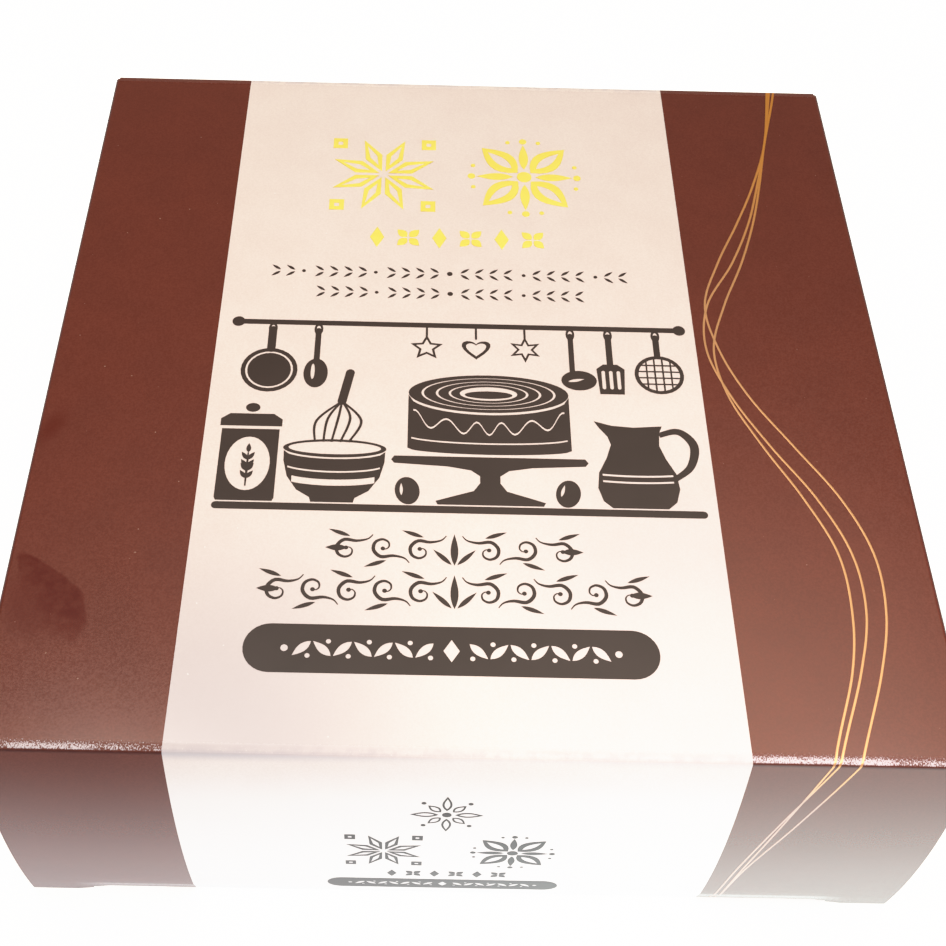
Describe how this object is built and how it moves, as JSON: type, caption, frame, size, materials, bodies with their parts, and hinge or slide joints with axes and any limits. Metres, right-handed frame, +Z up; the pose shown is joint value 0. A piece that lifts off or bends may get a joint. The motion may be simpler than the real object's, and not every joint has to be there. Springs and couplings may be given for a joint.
{
  "type": "cake carton",
  "caption": "Shut printed folding carton for a ring cake, low and nearly square, with tuck-in front and back panels that swell outwards.",
  "frame": {"origin": "centre of the base, on the surface that the carton stands on", "axes": "+Z up, -Y the front closure, +X to the right as seen from the front"},
  "size_m": [0.165, 0.1744, 0.06],
  "materials": {
    "laminated_board": "satin laminated print, brown with a cream band"
  },
  "bodies": {
    "root": {"carton": "laminated_board"}
  },
  "joints": []
}
